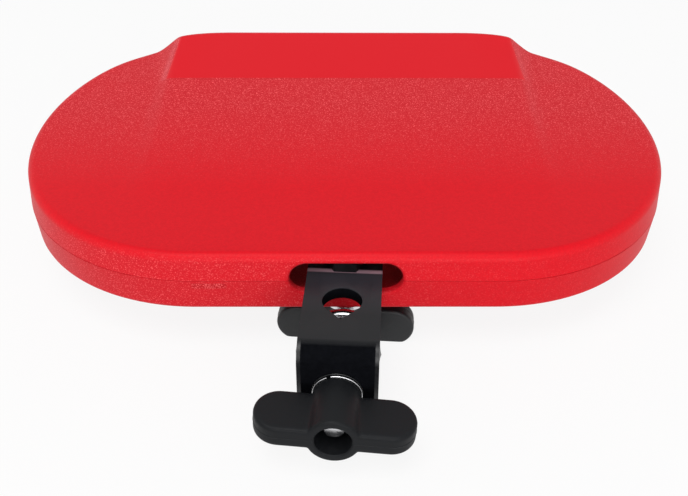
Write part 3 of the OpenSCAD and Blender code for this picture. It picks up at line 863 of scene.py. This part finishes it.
class Tree:
    """Short ways to add nodes to a node tree. A value is a socket, a number or a colour."""

    def __init__(self, tree):
        self.nodes, self.links = tree.nodes, tree.links

    def feed(self, sockets, values):
        """Links each named socket to a socket, or sets it to a number or a colour."""
        for name, value in values.items():
            if isinstance(value, bpy.types.NodeSocket):
                self.links.new(value, sockets[name])
            else:
                sockets[name].default_value = value if isinstance(value, (int, float)) else (*value, 1)

    def node(self, kind, inputs=None, **settings):
        """A new node with its settings and its inputs."""
        node = self.nodes.new(kind)
        for name, value in settings.items():
            setattr(node, name, value)
        self.feed(node.inputs, inputs or {})
        return node

    def math(self, operation, *values):
        """A sum, product or comparison of values."""
        return self.node("ShaderNodeMath", dict(enumerate(values)), operation=operation).outputs[0]

    def times(self, product, *factors):
        """The product of values."""
        for factor in factors:
            product = self.math("MULTIPLY", product, factor)
        return product

    def scaled(self, value, low, high, from_low=0.0, from_high=1.0):
        """A value mapped to a new range."""
        return self.node("ShaderNodeMapRange", {
            "Value": value, "From Min": from_low, "From Max": from_high,
            "To Min": low, "To Max": high}).outputs["Result"]

    def between(self, value, low, high, soft):
        """Mask that is 1 from low to high and 0 outside, with soft ends."""
        return self.times(self.scaled(value, 0, 1, low - soft, low + soft),
                          self.scaled(value, 1, 0, high - soft, high + soft))

    def mixed(self, mask, first, second):
        """Two colours mixed by a mask."""
        return self.node("ShaderNodeMix", {"Factor": mask, "A": first, "B": second},
                         data_type="RGBA").outputs["Result"]

    def split(self, vector):
        """The three coordinates of a vector."""
        return self.node("ShaderNodeSeparateXYZ", {0: vector}).outputs

    def place(self, kind="Object"):
        """The point in the part's frame."""
        return self.node("ShaderNodeTexCoord").outputs[kind]

    def grain(self, group, size):
        """The outputs of the grain group for a size of grain."""
        return self.node("ShaderNodeGroup", {"Size": size}, node_tree=group).outputs

    def bump(self, height, strength, distance):
        """A normal with a bump."""
        return self.node("ShaderNodeBump", {
            "Height": height, "Strength": strength, "Distance": distance}).outputs["Normal"]

    def background_rays(self):
        """1 for the rays that show the background: from the camera, off gloss and through glass."""
        rays = self.node("ShaderNodeLightPath").outputs
        gloss = self.math("MAXIMUM", rays["Is Camera Ray"], rays["Is Glossy Ray"])
        return self.math("MAXIMUM", gloss, rays["Is Transmission Ray"])

    def surface(self, output, factor, first, second):
        """Mixes two shaders into the output node."""
        mix = self.node("ShaderNodeMixShader", {0: factor, 1: first.outputs[0], 2: second.outputs[0]})
        self.feed(self.nodes[output].inputs, {"Surface": mix.outputs[0]})


def new_group(name, given, kind, made):
    """A node group with one input and some float outputs: its tree, the input and the outputs."""
    group = bpy.data.node_groups.new(name, "ShaderNodeTree")
    group.interface.new_socket(name=given, in_out="INPUT", socket_type=kind)
    for title in made:
        group.interface.new_socket(name=title, in_out="OUTPUT", socket_type="NodeSocketFloat")
    tree = Tree(group)
    return group, tree, tree.node("NodeGroupInput").outputs[given], tree.node("NodeGroupOutput").inputs


def grain_group():
    """Moulded or coated grain of a size in metres: a height, a mask of its peaks and its fine part."""
    group, tree, size, made = new_group(
        "surface_grain", "Size", "NodeSocketFloat", ("Height", "Mask", "Fine"))
    where, per_metre = tree.place(), tree.math("DIVIDE", 1.0, size)
    fine, broad = (
        tree.node("ShaderNodeTexNoise", {
            "Vector": where, "Scale": scale, "Detail": detail, "Roughness": 0.55}).outputs["Fac"]
        for scale, detail in ((per_metre, 2.0), (tree.times(per_metre, 0.45), 1.0)))
    height = tree.math("MULTIPLY_ADD", broad, 0.6, fine)
    tree.feed(made, {"Height": height, "Mask": tree.scaled(height, 0, 1, 0.62, 0.98), "Fine": fine})
    return group


def zones_group(s):
    """Masks of the block's finish and of the light and shade painted on it, from the point in the block's own
    frame.
    """
    group, tree, given, made = new_group("finish_and_painted_light_zones", "Place", "NodeSocketVector", ZONES)
    x, y, z = tree.split(given)
    half_depth, wide, soft = s.depth / 2, s.width, 0.2 * MM
    crease = half_depth - s.crease_back
    level = s.polish_level - s.polish_slope * crease
    tilted = tree.math("SUBTRACT", z, tree.times(y, s.polish_slope))
    on_top = tree.scaled(tilted, 0, 1, level - MM, level)
    back = tree.scaled(y, 0, 1, crease - soft, crease + soft)
    limit = tree.scaled(y, s.polish_front, s.polish_back, crease, half_depth)
    off_middle = tree.math("ABSOLUTE", tree.math("SUBTRACT", x, s.polish_shift))
    beyond = tree.math("SUBTRACT", off_middle, limit)
    middle = tree.scaled(beyond, 1, 0, -soft, soft)
    lip = tree.times(back, middle, on_top)
    # The painted highlight beside the lip fades towards the right
    faint_right = tree.scaled(x, 1.0, 0.35, -0.1 * wide, 0.1 * wide)
    # Painted sheen: grows towards the back of the top and lies on the left of the front wall
    far = tree.scaled(y, 0, 1, -0.45 * half_depth, 0.25 * half_depth)
    left_wall_sheen = tree.times(tree.scaled(x, 0.75, 0.2, -0.3 * wide, 0.2 * wide),
                           tree.scaled(z, 1, 0, 0.7 * s.front_height, s.front_height))
    front_face = s.wall / 2 - half_depth
    # The masks, in order: the polished lip; painted sheen; painted highlight beside the lip; painted
    # highlight on the lip's back rim; painted shade in the parting line; the gate mark
    tree.feed(made, {
        "Lip": lip,
        "Sheen": tree.math("MAXIMUM", tree.times(far, tree.math("SUBTRACT", 1.0, lip)), left_wall_sheen),
        "Strip": tree.times(back, tree.between(beyond, soft, 2.6 * MM, 0.8 * MM), on_top, faint_right),
        "RimHighlight": tree.times(tree.scaled(y, 0, 1, half_depth - 4 * MM, half_depth - MM), on_top, middle),
        "Seam": tree.between(z, -s.seam_edge, s.seam_edge, 0.1 * MM),
        "Gate": tree.times(tree.between(x, s.gate_left, s.gate_right, 0.5 * MM),
                           tree.between(z, s.gate_low, s.gate_high, 0.25 * MM),
                           tree.scaled(y, 1, 0, front_face + 0.1 * MM, front_face + soft)),
    })
    return group


def new_material(name):
    """A material's node tree and its shader."""
    material = bpy.data.materials.new(name)
    material.use_nodes = True
    tree = Tree(material.node_tree)
    return tree, tree.nodes["Principled BSDF"]


def toned(tint, factor):
    """A colour made darker or lighter."""
    return [factor * value for value in tint]


def red_finish(f, s, grain):
    """Moulded red plastic: grained, with a painted sheen and painted glints towards the back, polished on the
    lip, with painted highlights on the lip's back rim and beside it, painted shade in the parting line, and
    its gate mark.
    """
    tree, shader = new_material("red_finish")
    place = tree.node("ShaderNodeAttribute", attribute_name=PLACE_NAME).outputs["Vector"]
    zones = tree.node("ShaderNodeGroup", {"Place": place}, node_tree=zones_group(s)).outputs
    lip, sheen, strip, rim, seam, gate = (zones[name] for name in ZONES)
    texture, fine = tree.grain(grain, f.grain), tree.grain(grain, f.glint_size)["Fine"]
    # Painted glints: light specks painted where the sheen is and beside the lip
    glint = tree.times(tree.scaled(fine, 0, 1, 0.54, 0.68),
                       tree.math("ADD", sheen, tree.times(strip, f.strip_glint)), f.glint_share)
    base = tree.mixed(texture["Mask"], f.red_dark, f.red)
    # Layers, in order: painted sheen, the polished lip, painted glints, painted highlights beside the lip and
    # on its back rim, painted shade in the parting line, the gate mark's darker tone, and light specks
    # painted on the gate mark as glints
    for mask, tint in (
            (tree.times(sheen, f.sheen_share), f.sheen), (lip, f.red_lip), (glint, f.glint),
            (tree.times(strip, f.strip_highlight_share), f.pale), (tree.times(rim, f.rim_highlight_share), f.pale),
            (tree.times(seam, f.seam_shade_share), f.deep), (tree.times(gate, f.gate_share), f.deep),
            (tree.times(gate, tree.scaled(fine, 0, 0.7, 0.5, 0.6)), f.glint)):
        base = tree.mixed(mask, base, tint)
    tree.feed(shader.inputs, {
        "Specular IOR Level": f.red_gloss, "Roughness": tree.scaled(lip, 0.46, 0.38), "Base Color": base,
        "Normal": tree.bump(texture["Height"], tree.scaled(lip, 0.42, 0.06), 0.12 * f.grain)})


def grained(name, grain, size, rough, tints, bump=None):
    """A finish whose roughness and colour go from their first to their second value with the grain.

    The bump is its strength and its distance.
    """
    tree, shader = new_material(name)
    texture = tree.grain(grain, size)
    tree.feed(shader.inputs, {
        "Roughness": tree.scaled(texture["Mask"], *rough), "Base Color": tree.mixed(texture["Mask"], *tints)})
    if bump:
        tree.feed(shader.inputs, {"Normal": tree.bump(texture["Height"], *bump)})
    return tree, shader


def coat_finish(f, b, grain):
    """Satin powder coat of the bracket: matt round the bend, its top painted lighter towards the block as
    painted light, with a pale band inside the block's slot.
    """
    tree, shader = grained(
        "coat_finish", grain, f.coat_grain, (0.36, 0.44), (f.coat, toned(f.coat, 1.3)), (0.1, 0.04 * MM))
    x, y, z = tree.split(tree.place())
    flat = BRACKET_LOW.y + b.bend + b.plate_t
    bend = (BRACKET_LOW.y + flat) / 2
    upper = tree.scaled(z, 0, 1, BRACKET_HIGH.z - b.edge, BRACKET_HIGH.z - b.edge / 2)
    on_flat = tree.times(upper, tree.scaled(y, 0.0, f.coat_gloss, bend, flat))
    worn_from = BRACKET_HIGH.x - b.edge_wear
    side = tree.times(tree.scaled(tree.math("ABSOLUTE", x), 0, f.edge_gloss, worn_from - 0.3 * MM, worn_from),
                      tree.scaled(y, 1, 0, bend, flat + MM))
    base = shader.inputs["Base Color"].links[0].from_socket
    for mask, tint in (
            # Painted light: the top face painted lighter towards the block, where it lies in the block's
            # shade
            (tree.times(upper, tree.scaled(y, 0, 1, -b.rod_hole, 0.9 * b.band_low)), f.coat_painted_light),
            # A pale pinkish band inside the slot, then plain coat beyond it
            (tree.between(y, b.band_low, b.band_high, 0.3 * MM), f.coat_slot_band),
            (tree.scaled(y, 0, 1, b.band_high, b.band_high + 0.5 * MM), f.coat)):
        base = tree.mixed(mask, base, tint)
    tree.feed(shader.inputs, {"Base Color": base, "Specular IOR Level": tree.math("MAXIMUM", on_flat, side)})


def grip_finish(f, grain):
    """Soft black plastic of the grips, glossier under the block."""
    tree, shader = grained(
        "grip_finish", grain, f.grip_grain, (0.46, 0.56), (f.grip, toned(f.grip, 1.35)), (0.16, 0.05 * MM))
    back = tree.split(tree.place())["Y"]
    tree.feed(shader.inputs, {
        "Specular IOR Level": tree.scaled(back, f.grip_gloss, f.rear_gloss, BRACKET_LOW.y, 0.0)})


class MaterialSet(bpy.types.Operator):
    """Makes the finishes and gives them to the solids that stay"""
    bl_idname = "percussion.materials"
    bl_label = "Finishes"

    def execute(self, context):
        f = context.scene.block_finish
        grain = grain_group()
        red_finish(f, context.scene.block_shell, grain)
        coat_finish(f, context.scene.block_bracket, grain)
        grip_finish(f, grain)
        _, washer = grained("washer_finish", grain, f.coat_grain, (0.2, 0.3), (f.coat, toned(f.coat, 1.3)))
        washer.inputs["Specular IOR Level"].default_value = f.washer_gloss
        for name, tint, rough, node in (
                ("steel_finish", f.steel, (0.14, 0.24), "mount_screw"),
                ("brass_finish", f.brass, (0.25, 0.35), "clamp_nut_insert"),
                ("nut_finish", f.nut, (0.4, 0.5), "bracket_nut")):
            tints = (toned(tint, 0.88), tint)
            _, metal = grained(name, grain, f.metal_grain, rough, tints, (0.05, 0.02 * MM))
            metal.inputs["Metallic"].default_value = 1.0
            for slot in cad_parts[node].material_slots:
                slot.material = bpy.data.materials[name]
        return {"FINISHED"}


def area_lamp(name, place, size, energy):
    """A soft square lamp that looks at the object."""
    data = bpy.data.lights.new(name, "AREA")
    data.size = size
    data.energy = energy
    obj = new_object(name, data)
    obj.location = place
    obj.rotation_euler = (Vector(LAMP_TARGET) - Vector(place)).to_track_quat("-Z", "Y").to_euler()


def backdrop_world(g):
    """A white backdrop that darkens to the ceiling; the camera sees it as plain white."""
    world = bpy.data.worlds.new("studio")
    bpy.context.scene.world = world
    world.use_nodes = True
    tree = Tree(world.node_tree)
    light, up = tree.nodes["Background"], tree.split(tree.place("Generated"))["Z"]
    dimming = tree.scaled(up, g.backdrop, g.ceiling, g.backdrop_top, g.ceiling_start)
    tree.feed(light.inputs, {"Color": (1, 1, 1), "Strength": dimming})
    seen = tree.node("ShaderNodeBackground", {"Color": [g.backdrop] * 3, "Strength": 1.0})
    tree.surface("World Output", tree.background_rays(), light, seen)


def floor_material(g):
    """Pale floor that the camera sees near white, with the object's shadow."""
    tree, shader = new_material("pale_floor")
    seen = tree.background_rays()
    tree.feed(shader.inputs, {
        "Roughness": 1.0, "Specular IOR Level": 0.0,
        "Base Color": tree.mixed(seen, [g.floor_grey] * 3, [g.floor_white] * 3)})
    glow = tree.node("ShaderNodeEmission", {"Color": (1, 1, 1)})
    tree.surface("Material Output", tree.times(seen, g.floor_glow), shader, glow)
    return bpy.data.materials["pale_floor"]


def make_camera(g, s):
    """The camera at the photograph's angle, from the block's own frame."""
    e = g.elevation
    data = bpy.data.cameras.new("camera")
    data.lens, data.sensor_width = g.focal, 36
    data.shift_x, data.shift_y = g.shift_x, g.shift_y
    data.clip_start, data.clip_end = 0.01, 20
    obj = new_object("camera", data)
    axes = Matrix(((1, 0, 0), (0, math.sin(e), -math.cos(e)), (0, math.cos(e), math.sin(e))))
    place = Matrix.Translation((0, -g.distance * math.cos(e), g.distance * math.sin(e))) @ axes.to_4x4()
    obj.matrix_world = (block_place(s) @ Matrix.Rotation(-g.yaw, 4, "Z") @ place
                        @ Matrix.Rotation(g.roll, 4, "Z"))
    bpy.context.scene.camera = obj


class Stage(bpy.types.Operator):
    """Sets the floor, the light and the camera"""
    bl_idname = "percussion.stage"
    bl_label = "Stage"

    def execute(self, context):
        scene = context.scene
        scene.view_settings.view_transform = "Standard"
        bm = bmesh.new()
        bmesh.ops.create_grid(bm, x_segments=1, y_segments=1, size=FLOOR_HALF)
        placed(bm, Matrix.Translation((0, 0, BRACKET_LOW.z)))
        floor = raw_object("floor", bm)
        floor.data.materials.append(floor_material(scene.block_stage))
        backdrop_world(scene.block_stage)
        for lamp in LAMPS:
            area_lamp(*lamp)
        make_camera(scene.block_stage, scene.block_shell)
        return {"FINISHED"}


class BlockPanel(bpy.types.Panel):
    """Sizes, finishes and the operators that build the block"""
    bl_idname = "VIEW3D_PT_percussion_block"
    bl_label = "Percussion Block"
    bl_space_type = "VIEW_3D"
    bl_region_type = "UI"
    bl_category = "Percussion Block"

    def draw(self, context):
        layout, scene = self.layout, context.scene
        for name in SETTINGS:
            box = layout.box()
            settings = getattr(scene, name)
            for prop in settings.bl_rna.properties:
                if prop.identifier not in ("rna_type", "name"):
                    box.prop(settings, prop.identifier)
        for operator in OPERATORS:
            layout.operator(operator.bl_idname)


SETTINGS = {
    "block_shell": ShellSizes,
    "block_bracket": BracketSizes,
    "block_clamp": ClampSizes,
    "block_finish": Finishes,
    "block_stage": StageSettings,
}
OPERATORS = (MaterialSet, UpperShell, LowerShell, Bracket, Washers, EyeBolt, WingGrips, Stage)


def register():
    for group in SETTINGS.values():
        bpy.utils.register_class(group)
    for name, group in SETTINGS.items():
        setattr(bpy.types.Scene, name, PointerProperty(type=group))
    for operator in OPERATORS:
        bpy.utils.register_class(operator)
    bpy.utils.register_class(BlockPanel)


def unregister():
    bpy.utils.unregister_class(BlockPanel)
    for operator in reversed(OPERATORS):
        bpy.utils.unregister_class(operator)
    for name in SETTINGS:
        delattr(bpy.types.Scene, name)
    for group in reversed(list(SETTINGS.values())):
        bpy.utils.unregister_class(group)


def main():
    register()
    for operator in OPERATORS:
        group, name = operator.bl_idname.split(".")
        getattr(getattr(bpy.ops, group), name)()


if __name__ == "__main__":
    main()
